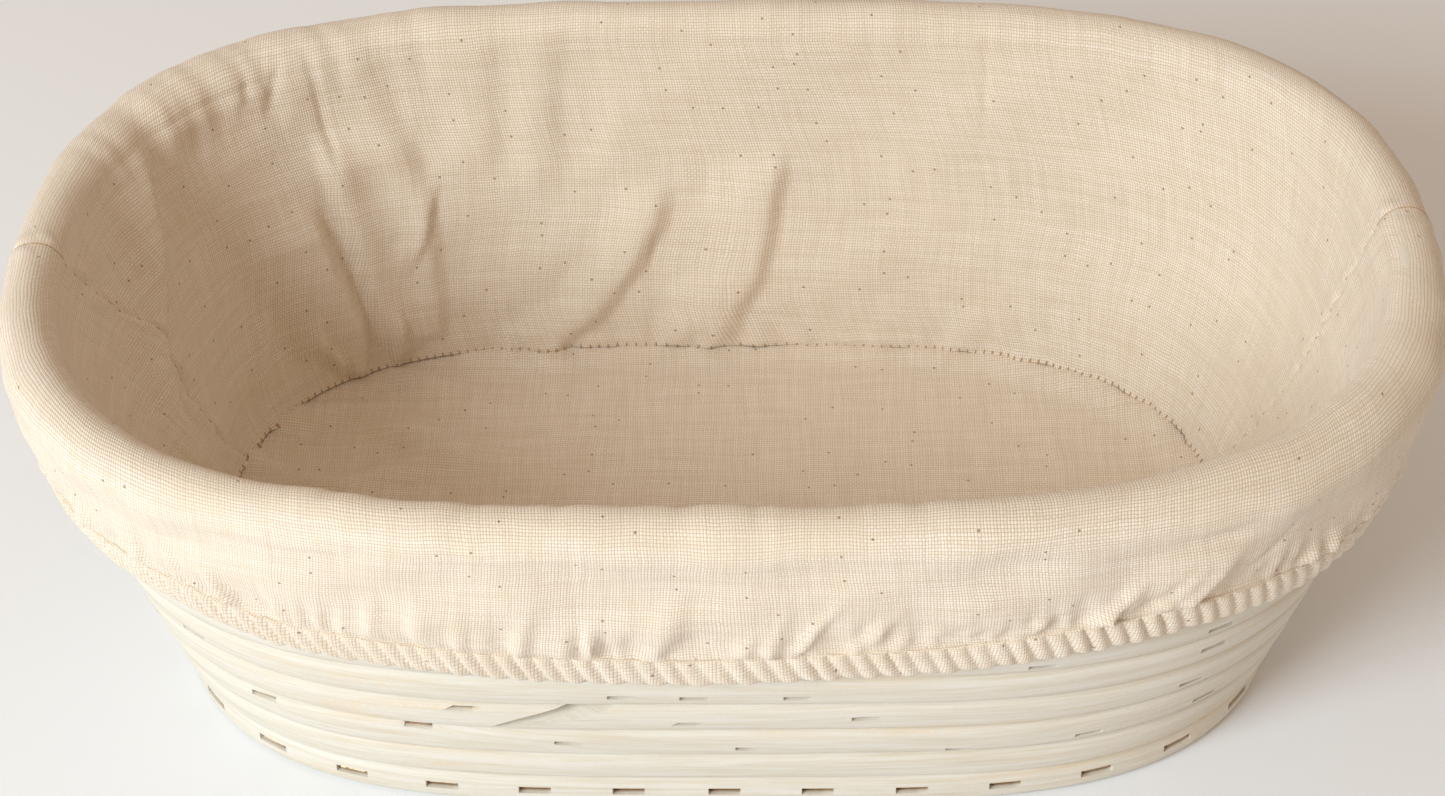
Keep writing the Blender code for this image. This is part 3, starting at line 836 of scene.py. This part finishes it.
def side_panel(first_seam, last_seam, turns_on):
    """One of the two side panels, cut to the slant of its two end seams, facing away from the cane."""
    rows = INSIDE_ROWS + OVER_ROWS + SKIRT_ROWS
    mesh, across, down = flat_grid(CLOTH_COLUMNS, rows)
    row = down * rows
    stage = np.interp(row, (0, INSIDE_ROWS, INSIDE_ROWS + OVER_ROWS, rows), (0.0, 1.0, 2.0, 3.0))
    height = np.where(stage < 1, cloth_line(np.zeros(len(row)), stage)[2], OVER_RIM)
    first = seam_share(first_seam, height)
    last = seam_share(last_seam, height) + turns_on
    share = first + across * (last - first)
    places, travel, shrink = cloth_places(share, stage)
    middle = (first + last) / 2
    cut = np.stack([(share - middle) * RIM_LENGTH * shrink, travel], axis=-1)
    lay_out(mesh, places, cut)
    mesh.flip_normals()
    shade_smooth(mesh)
    return mesh


def floor_mesh():
    """The floor panel, laid over the coiled base and rising to its seam with the sides."""
    mesh, across, down = flat_grid(FLOOR_STEPS, FLOOR_STEPS)
    x, y = across * 2 - 1, down * 2 - 1
    reach = np.maximum(np.abs(x), np.abs(y))
    share = (np.arctan2(y, x) / math.tau) % 1.0
    seam = cloth_places(share, np.zeros(len(x)))[0]
    places = seam * reach[:, None]
    edge = smooth_step((reach - 0.90) / 0.10)
    even = FLOOR_HEIGHT + (seam[:, 2] - FLOOR_HEIGHT) * edge
    left = smooth_step((-places[:, 0] - 20 * MM) / (60 * MM))
    stretched = places * (1.0, 2.6, 1.0)
    rumpled = 0.10 * waves(places, 40 * MM, 14) + left * 0.75 * waves(stretched, 24 * MM, 15)
    rumpled = rumpled + 0.14 * waves(places, 9 * MM, 16) * edge
    places[:, 2] = even + np.maximum(rumpled * MM, -0.3 * MM)
    places[:, :2] += unit(seam)[:, :2] * (0.4 * MM * edge)[:, None]
    lay_out(mesh, places, places[:, :2])
    shade_smooth(mesh)
    return mesh


def ring_tube(columns, rows, shape):
    """A closed tube round the outside of the wall: shape gives out and height from share and turn."""
    mesh, across, down = flat_grid(columns, rows)
    turn = down * math.tau
    out, height = shape(across, turn)
    places = oval_points(wall_level(height), rim_angle(across), out, height)
    lay_out(mesh, places, np.stack([across * RIM_LENGTH, down * 2 * CASING_TALL], axis=-1))
    close_up(mesh)
    return mesh


def casing_shape(share, turn):
    """The gathered casing: a flat tube from the stitching down to the hem's edge, ribbed all round."""
    low = hem_edge(share)
    middle = low + CASING_TALL / 2
    height = middle + CASING_TALL / 2 * np.cos(turn)
    lean = RIB_LEAN * (low + CASING_TALL - height) / RIB_LEAN_HEIGHT
    ribs = 2.0 * np.abs(np.cos(math.pi * (RIB_COUNT * share + lean))) ** 0.7 - 1.2
    uneven = 1.0 + 0.35 * np.sin(math.tau * 37 * share + 1.0) * np.sin(math.tau * 23 * share)
    outer = np.maximum(np.sin(turn), 0.0) ** 0.42
    inner = np.maximum(-np.sin(turn), 0.0) ** 0.55
    out = CASING_OUT + outer * (CASING_THICK / 2 + RIB_DEPTH * ribs * uneven) - inner * CASING_THICK / 2
    return out, height + 0.25 * MM * np.sin(math.tau * RIB_COUNT / 2 * share) * (1.0 - np.cos(turn)) / 2


def elastic_shape(share, turn):
    """The flat elastic in the middle of the casing."""
    middle = hem_edge(share) + CASING_TALL / 2
    wave = ELASTIC_WAVE * np.sin(math.tau * RIB_COUNT * share)
    out = CASING_OUT + ELASTIC_THICK / 2 * signed_power(np.sin(turn), 0.4) + wave
    return out, middle + ELASTIC_TALL / 2 * signed_power(np.cos(turn), 0.6)


# ---------------------------------------------------------------- stitches

THREAD = 0.42 * MM
FLOOR_STITCH_PITCH = 1.9 * MM
STITCH_LENGTH = 1.5 * MM
HEM_STITCH_LENGTH = 1.1 * MM
STITCH_SUNK = 0.1 * MM
SEAM_STITCH_COUNT = 56
FLOOR_SEAM_LENGTH = 0.85 * RIM_LENGTH
FLOOR_SEAM_STAGE = 0.003
HEM_ROW_STAGE = 2.985


def stitches(name, shares, stages, length, lying, sunk):
    """Short stitches on the cloth, lying along the seam or across it."""
    here = cloth_places(shares, stages)[0]
    step = 0.4 * MM / RIM_LENGTH
    along = unit(cloth_places(shares + step, stages)[0] - cloth_places(shares - step, stages)[0])
    above = np.where(stages > 0.01, np.minimum(stages + 0.006, 3.0), stages + 0.02)
    below = np.where(stages > 0.01, above - 0.012, stages)
    up = unit(cloth_places(shares, above)[0] - cloth_places(shares, below)[0])
    ahead = np.roll(here, -1, axis=0) - here
    ahead[-1] = ahead[-2]
    shape = bmesh.new()
    for index, place in enumerate(here):
        way = Vector(ahead[index] if lying else up[index]).normalized()
        off = -Vector(np.cross(along[index], up[index])).normalized()
        side = off.cross(way).normalized()
        off = way.cross(side)
        turned = Matrix((way, side, off)).transposed().to_4x4()
        spot = Matrix.Translation(Vector(place) - off * sunk) @ turned
        size = Matrix.Diagonal((length / 2, THREAD / 2, THREAD / 2, 1.0))
        bmesh.ops.create_icosphere(shape, subdivisions=1, radius=1.0, matrix=spot @ size)
    mesh = bpy.data.meshes.new(name)
    shape.to_mesh(mesh)
    shape.free()
    mesh.shade_smooth()
    return mesh


def end_seam_stitches(name, seam):
    stages = np.linspace(0.02, 2.95, SEAM_STITCH_COUNT)
    height = np.where(stages < 1, cloth_line(np.zeros(len(stages)), stages)[2], OVER_RIM)
    return stitches(name, seam_share(seam, height), stages, STITCH_LENGTH, True, STITCH_SUNK)


def make_liner(cloth, thread, pale_thread, elastic):
    """The liner's pieces, each in the place of its CAD node."""

    def piece(name, mesh, finish, slot, node):
        return add_piece(name, mesh, finish, "liner", [node])

    front_cloth = side_panel(LEFT_SEAM, RIGHT_SEAM, 1.0)
    rear_cloth = side_panel(RIGHT_SEAM, LEFT_SEAM, 0.0)
    front = piece("liner_front", front_cloth, cloth, "liner_cloth", "front_panel")
    rear = piece("liner_rear", rear_cloth, cloth, "liner_cloth", "rear_panel")
    floor = piece("liner_floor", floor_mesh(), cloth, "liner_cloth", "floor_panel")
    casing = ring_tube(RIB_COUNT * 9, 22, casing_shape)
    hem = piece("gathered_hem", casing, cloth, "liner_cloth", "hem_casing")
    loop = ring_tube(RIB_COUNT * 3, 12, elastic_shape)
    band = piece("elastic_band", loop, elastic, "elastic", "hem_elastic")

    floor_shares = np.arange(0.0, 1.0, FLOOR_STITCH_PITCH / FLOOR_SEAM_LENGTH)
    floor_stages = np.full(len(floor_shares), FLOOR_SEAM_STAGE)
    floor_seam = stitches("floor_seam", floor_shares, floor_stages, STITCH_LENGTH, False, 0.0)
    piece("floor_seam_stitches", floor_seam, thread, "thread", "floor_seam_thread")
    rib_shares = (np.arange(RIB_COUNT) + 0.5) / RIB_COUNT
    rib_stages = np.full(RIB_COUNT, HEM_ROW_STAGE)
    hem_row = stitches("hem_row", rib_shares, rib_stages, HEM_STITCH_LENGTH, False, STITCH_SUNK)
    piece("hem_stitches", hem_row, pale_thread, "thread", "hem_thread")
    left = end_seam_stitches("left_seam", LEFT_SEAM)
    piece("left_seam_stitches", left, thread, "thread", "left_seam_thread")
    right = end_seam_stitches("right_seam", RIGHT_SEAM)
    piece("right_seam_stitches", right, thread, "thread", "right_seam_thread")


# ---------------------------------------------------------------- finishes


class Finish:
    """A material, built up from nodes that are joined as they are added."""

    def __init__(self, name):
        self.material = bpy.data.materials.new(name)
        self.material.use_nodes = True
        self.tree = self.material.node_tree
        self.shader = self.tree.nodes["Principled BSDF"]

    def join(self, value, socket):
        if isinstance(value, bpy.types.NodeSocket):
            self.tree.links.new(value, socket)
        else:
            socket.default_value = value

    def node(self, kind, inputs=None, **settings):
        made = self.tree.nodes.new("ShaderNode" + kind)
        for name, value in settings.items():
            setattr(made, name, value)
        for name, value in (inputs or {}).items():
            self.join(value, made.inputs[name])
        return made

    def add(self, kind, inputs=None, output=0, **settings):
        return self.node(kind, inputs, **settings).outputs[output]

    def maths(self, operation, first, second=0.0):
        return self.add("Math", {0: first, 1: second}, operation=operation)

    def times(self, first, second):
        return self.maths("MULTIPLY", first, second)

    def mixed(self, first, first_share, second, second_share):
        return self.maths("ADD", self.times(first, first_share), self.times(second, second_share))

    def ramp(self, value, low, high, to_low=0.0, to_high=1.0):
        sockets = {"Value": value, "From Min": low, "From Max": high, "To Min": to_low, "To Max": to_high}
        return self.add("MapRange", sockets, interpolation_type="SMOOTHSTEP")

    def blend(self, share, first, second):
        return self.add("Mix", {0: share, 6: first, 7: second}, 2, data_type="RGBA")

    def stretched(self, vector, scale):
        return self.add("Mapping", {"Vector": vector, "Scale": scale})

    def noise(self, vector, scale, detail=2.0, roughness=0.5):
        sockets = {"Vector": vector, "Scale": scale, "Detail": detail, "Roughness": roughness}
        return self.add("TexNoise", sockets)

    def shade(self, values):
        for name, value in values.items():
            self.join(value, self.shader.inputs[name])

    def bump(self, height, distance, strength):
        normal = self.add("Bump", {"Height": height, "Distance": distance, "Strength": strength})
        self.join(normal, self.shader.inputs["Normal"])


def colour(red, green, blue):
    return (red, green, blue, 1.0)


WARP_PITCH = 0.50 * MM
WEFT_PITCH = 0.56 * MM
SPECK_SCALE = 190.0
SPECK_SIZE = 0.046
SPECK_CHOSEN = 0.74
CLOTH_DARK = colour(0.760, 0.665, 0.540)
CLOTH_LIGHT = colour(0.905, 0.835, 0.745)
# Painted shade for the spaces between the threads.
CLOTH_GAP_SHADE = colour(0.56, 0.440, 0.310)
CLOTH_TAN = colour(0.80, 0.66, 0.50)
HUSK_BROWN = colour(0.24, 0.15, 0.08)
CANE_DARK = colour(0.635, 0.580, 0.468)
CANE_LIGHT = colour(0.722, 0.698, 0.638)
CANE_TAN = colour(0.74, 0.60, 0.42)
CANE_FIBRE = colour(0.52, 0.40, 0.27)
# Bare cut cane in the staple slots; the near-black end stands for painted shade.
RAW_WOOD_IN_SHADE = colour(0.14, 0.070, 0.03)
RAW_LIGHT = colour(0.52, 0.33, 0.15)


def woven_cloth():
    """Unbleached plain-weave cotton: uneven threads, slubs, a few specks of husk, painted shade between
    threads.
    """
    cloth = Finish("unbleached_cotton")
    cut = cloth.add("UVMap", uv_map="cut")
    sway = cloth.noise(cut, 70.0, 2.0)
    shift = cloth.times(cloth.maths("SUBTRACT", sway, 0.5), 1.6 * MM)
    both = cloth.add("CombineXYZ", {"X": shift, "Y": shift})
    moved = cloth.add("VectorMath", {0: cut, 1: both}, operation="ADD")
    split = cloth.node("SeparateXYZ", {0: moved})
    warp_wave = cloth.maths("SINE", cloth.times(split.outputs["X"], math.pi / WARP_PITCH))
    weft_wave = cloth.maths("SINE", cloth.times(split.outputs["Y"], math.pi / WEFT_PITCH))
    crossing = cloth.times(warp_wave, weft_wave)
    warp_over = cloth.maths("GREATER_THAN", crossing, 0.0)
    rise = cloth.maths("POWER", cloth.maths("ABSOLUTE", crossing), 0.5)
    warp_tone = cloth.noise(cloth.stretched(moved, (1.0, 0.05, 1.0)), 1300.0, 2.0, 0.6)
    weft_tone = cloth.noise(cloth.stretched(moved, (0.05, 1.0, 1.0)), 1150.0, 2.0, 0.6)
    warp_slub = cloth.noise(cloth.stretched(moved, (1.0, 0.10, 1.0)), 420.0, 2.0, 0.6)
    weft_slub = cloth.noise(cloth.stretched(moved, (0.10, 1.0, 1.0)), 380.0, 2.0, 0.6)
    thread_tone = cloth.add("Mix", {0: warp_over, 2: weft_tone, 3: warp_tone})
    slub = cloth.times(cloth.maths("ADD", warp_slub, weft_slub), 0.5)
    tone = cloth.mixed(thread_tone, 0.72, slub, 0.28)
    base = cloth.blend(cloth.ramp(tone, 0.34, 0.66), CLOTH_DARK, CLOTH_LIGHT)
    # Painted shade: the weave is darkened in colour between the threads, where the crossing wave dips.
    painted_gap_shade = cloth.ramp(rise, 0.0, 0.75, 0.0, 1.0)
    base = cloth.blend(painted_gap_shade, CLOTH_GAP_SHADE, base)
    place = cloth.add("TexCoord", output=3)
    patch = cloth.ramp(cloth.noise(place, 22.0, 3.0, 0.6), 0.35, 0.7)
    base = cloth.blend(cloth.times(patch, 0.18), base, CLOTH_TAN)
    cells = cloth.node("TexVoronoi", {"Vector": cut, "Scale": SPECK_SCALE}, voronoi_dimensions="2D")
    near = cloth.maths("LESS_THAN", cells.outputs["Distance"], SPECK_SIZE)
    chosen = cloth.add("SeparateColor", {0: cells.outputs["Color"]})
    speck = cloth.times(near, cloth.maths("GREATER_THAN", chosen, SPECK_CHOSEN))
    base = cloth.blend(cloth.times(speck, 0.75), base, HUSK_BROWN)
    cloth.shade({
        "Base Color": base,
        "Roughness": 0.92,
        "Sheen Weight": 0.25,
        "Sheen Roughness": 0.5,
        "Specular IOR Level": 0.2,
    })
    height = cloth.mixed(rise, 0.55, tone, 0.9)
    cloth.bump(height, 0.20 * MM, 0.75)
    return cloth.material


def bleached_cane():
    """Pale split cane: long fibres, tan streaks, small pits, and bare brown cane where it is cut, with
    painted shade in the slots.
    """
    cane = Finish("bleached_cane")
    grain = cane.add("UVMap", uv_map="cut")
    fibres = cane.noise(cane.stretched(grain, (0.035, 1.0, 1.0)), 2400.0, 3.0, 0.6)
    strands = cane.noise(cane.stretched(grain, (0.05, 1.0, 1.0)), 520.0, 3.0, 0.6)
    bands = cane.noise(cane.stretched(grain, (0.12, 1.0, 1.0)), 120.0, 2.0, 0.5)
    place = cane.add("TexCoord", output=3)
    speckle = cane.noise(place, 1500.0, 2.0, 0.6)
    patches = cane.noise(place, 28.0, 2.0, 0.5)
    tone = cane.mixed(fibres, 0.45, strands, 0.55)
    base = cane.blend(cane.ramp(tone, 0.34, 0.62), CANE_DARK, CANE_LIGHT)
    tan = cane.times(cane.ramp(bands, 0.50, 0.66), cane.ramp(patches, 0.40, 0.60))
    tan = cane.times(tan, cane.ramp(speckle, 0.35, 0.62))
    base = cane.blend(cane.times(tan, 0.80), base, CANE_TAN)
    base = cane.blend(cane.times(cane.ramp(fibres, 0.36, 0.24), 0.30), base, CANE_FIBRE)
    # Painted shade: the slot floors mix near-black brown into the bare cut cane's colour.
    slot_floor = cane.add("Attribute", output=2, attribute_name="raw_cut_and_slot_shade")
    slot_wood_and_shade = cane.blend(speckle, RAW_WOOD_IN_SHADE, RAW_LIGHT)
    base = cane.blend(cane.ramp(slot_floor, 0.25, 0.8), base, slot_wood_and_shade)
    cane.shade({
        "Base Color": base,
        "Roughness": cane.ramp(strands, 0.3, 0.7, 0.58, 0.78),
        "Specular IOR Level": 0.35,
    })
    height = cane.mixed(tone, 1.0, speckle, 0.35)
    cane.bump(height, 0.14 * MM, 0.9)
    return cane.material


def dull_steel():
    """Staple wire: flat steel gone dull and brownish, with specks of rust."""
    steel = Finish("dull_staple_steel")
    place = steel.add("TexCoord", output=3)
    cloud = steel.noise(place, 900.0, 4.0, 0.65)
    rust = steel.ramp(steel.noise(place, 420.0, 3.0, 0.6), 0.52, 0.66)
    base = steel.blend(cloud, colour(0.36, 0.25, 0.15), colour(0.64, 0.48, 0.30))
    base = steel.blend(rust, base, colour(0.34, 0.17, 0.07))
    steel.shade({
        "Base Color": base,
        "Metallic": steel.ramp(rust, 0.0, 1.0, 0.9, 0.15),
        "Roughness": steel.ramp(cloud, 0.3, 0.7, 0.38, 0.62),
    })
    steel.bump(cloud, 0.05 * MM, 0.6)
    return steel.material


def sewing_thread(name, dark, light):
    """Cotton thread with its twist."""
    thread = Finish(name)
    place = thread.add("TexCoord", output=3)
    twist = thread.add("TexWave", {"Vector": place, "Scale": 1500.0, "Distortion": 1.5}, 1)
    tone = thread.noise(place, 600.0, 2.0)
    base = thread.blend(tone, colour(*dark), colour(*light))
    base = thread.blend(thread.times(twist, 0.3), base, colour(*dark))
    thread.shade({"Base Color": base, "Roughness": 0.85, "Sheen Weight": 0.2})
    thread.bump(twist, 0.04 * MM, 0.7)
    return thread.material


def woven_elastic():
    """White braided elastic: fine ribs along it and a chevron across."""
    elastic = Finish("braided_elastic")
    cut = elastic.add("UVMap", uv_map="cut")
    along = {"Vector": cut, "Scale": 260.0, "Distortion": 0.6}
    across = {"Vector": cut, "Scale": 420.0, "Distortion": 1.0}
    ribs = elastic.add("TexWave", along, 1, bands_direction="Y")
    braid = elastic.add("TexWave", across, 1, bands_direction="DIAGONAL")
    weave = elastic.times(ribs, braid)
    base = elastic.blend(weave, colour(0.66, 0.63, 0.57), colour(0.90, 0.885, 0.85))
    elastic.shade({"Base Color": base, "Roughness": 0.8})
    elastic.bump(weave, 0.12 * MM, 0.8)
    return elastic.material


def pale_floor():
    floor = Finish("pale_floor")
    place = floor.add("TexCoord", output=3)
    base = floor.blend(floor.noise(place, 6.0, 2.0), colour(0.83, 0.86, 0.90), colour(0.86, 0.89, 0.93))
    floor.shade({"Base Color": base, "Roughness": 0.9})
    return floor.material


# ---------------------------------------------------------------- studio

CAMERA_AZIMUTH = 0.0254
CAMERA_ELEVATION = 0.7078
CAMERA_ROLL = -0.0193
CAMERA_AWAY = 0.517112
CAMERA_AIM = Vector((-0.3684, 0.0, 41.7984)) * MM
CAMERA_LENS = 70.388
KEY_PLACE = (-0.76, -0.83, 0.66)
KEY_SIZE = 0.60
KEY_POWER = 14.4
KEY_TINT = (0.885, 0.965, 1.0)
WORLD_TINT = colour(1.0, 0.79, 0.615)
WORLD_STRENGTH = 0.55


def aimed(back):
    right = Vector((0.0, 0.0, 1.0)).cross(back).normalized()
    return right, back.cross(right)


def make_camera():
    side, rise = math.cos(CAMERA_ELEVATION), math.sin(CAMERA_ELEVATION)
    back = Vector((math.sin(CAMERA_AZIMUTH) * side, -math.cos(CAMERA_AZIMUTH) * side, rise))
    right, up = aimed(back)
    turned_right = right * math.cos(CAMERA_ROLL) + up * math.sin(CAMERA_ROLL)
    turned_up = up * math.cos(CAMERA_ROLL) - right * math.sin(CAMERA_ROLL)
    camera = bpy.data.objects.new("camera", bpy.data.cameras.new("camera"))
    camera.data.lens = CAMERA_LENS
    camera.data.sensor_width = 36.0
    camera.data.clip_start = 0.01
    turned = Matrix((turned_right, turned_up, back)).transposed().to_4x4()
    camera.matrix_world = Matrix.Translation(CAMERA_AIM + back * CAMERA_AWAY) @ turned
    bpy.context.scene.collection.objects.link(camera)
    bpy.context.scene.camera = camera


def soft_light(name, place, size, power, tint):
    light = bpy.data.lights.new(name, "AREA")
    light.shape = "DISK"
    light.size = size
    light.energy = power
    light.color = tint
    lamp = bpy.data.objects.new(name, light)
    back = Vector(place).normalized()
    right, up = aimed(back)
    lamp.matrix_world = Matrix.Translation(place) @ Matrix((right, up, back)).transposed().to_4x4()
    bpy.context.scene.collection.objects.link(lamp)


def make_studio():
    shape = bmesh.new()
    bmesh.ops.create_grid(shape, x_segments=1, y_segments=1, size=3.0)
    mesh = bpy.data.meshes.new("floor")
    shape.to_mesh(mesh)
    shape.free()
    mesh.materials.append(pale_floor())
    floor = bpy.data.objects.new("floor", mesh)
    bpy.context.scene.collection.objects.link(floor)
    soft_light("key_light", KEY_PLACE, KEY_SIZE, KEY_POWER, KEY_TINT)
    world = bpy.data.worlds.new("studio")
    world.use_nodes = True
    sky = world.node_tree.nodes["Background"]
    sky.inputs["Color"].default_value = WORLD_TINT
    sky.inputs["Strength"].default_value = WORLD_STRENGTH
    bpy.context.scene.world = world
    bpy.context.scene.view_settings.view_transform = "Standard"


# ---------------------------------------------------------------- the basket

make_cane_and_staples(bleached_cane(), dull_steel())
tan_thread = sewing_thread("tan_cotton_thread", (0.40, 0.24, 0.12), (0.66, 0.46, 0.27))
pale_thread = sewing_thread("pale_cotton_thread", (0.60, 0.50, 0.37), (0.86, 0.78, 0.66))
make_liner(woven_cloth(), tan_thread, pale_thread, woven_elastic())
make_studio()
make_camera()
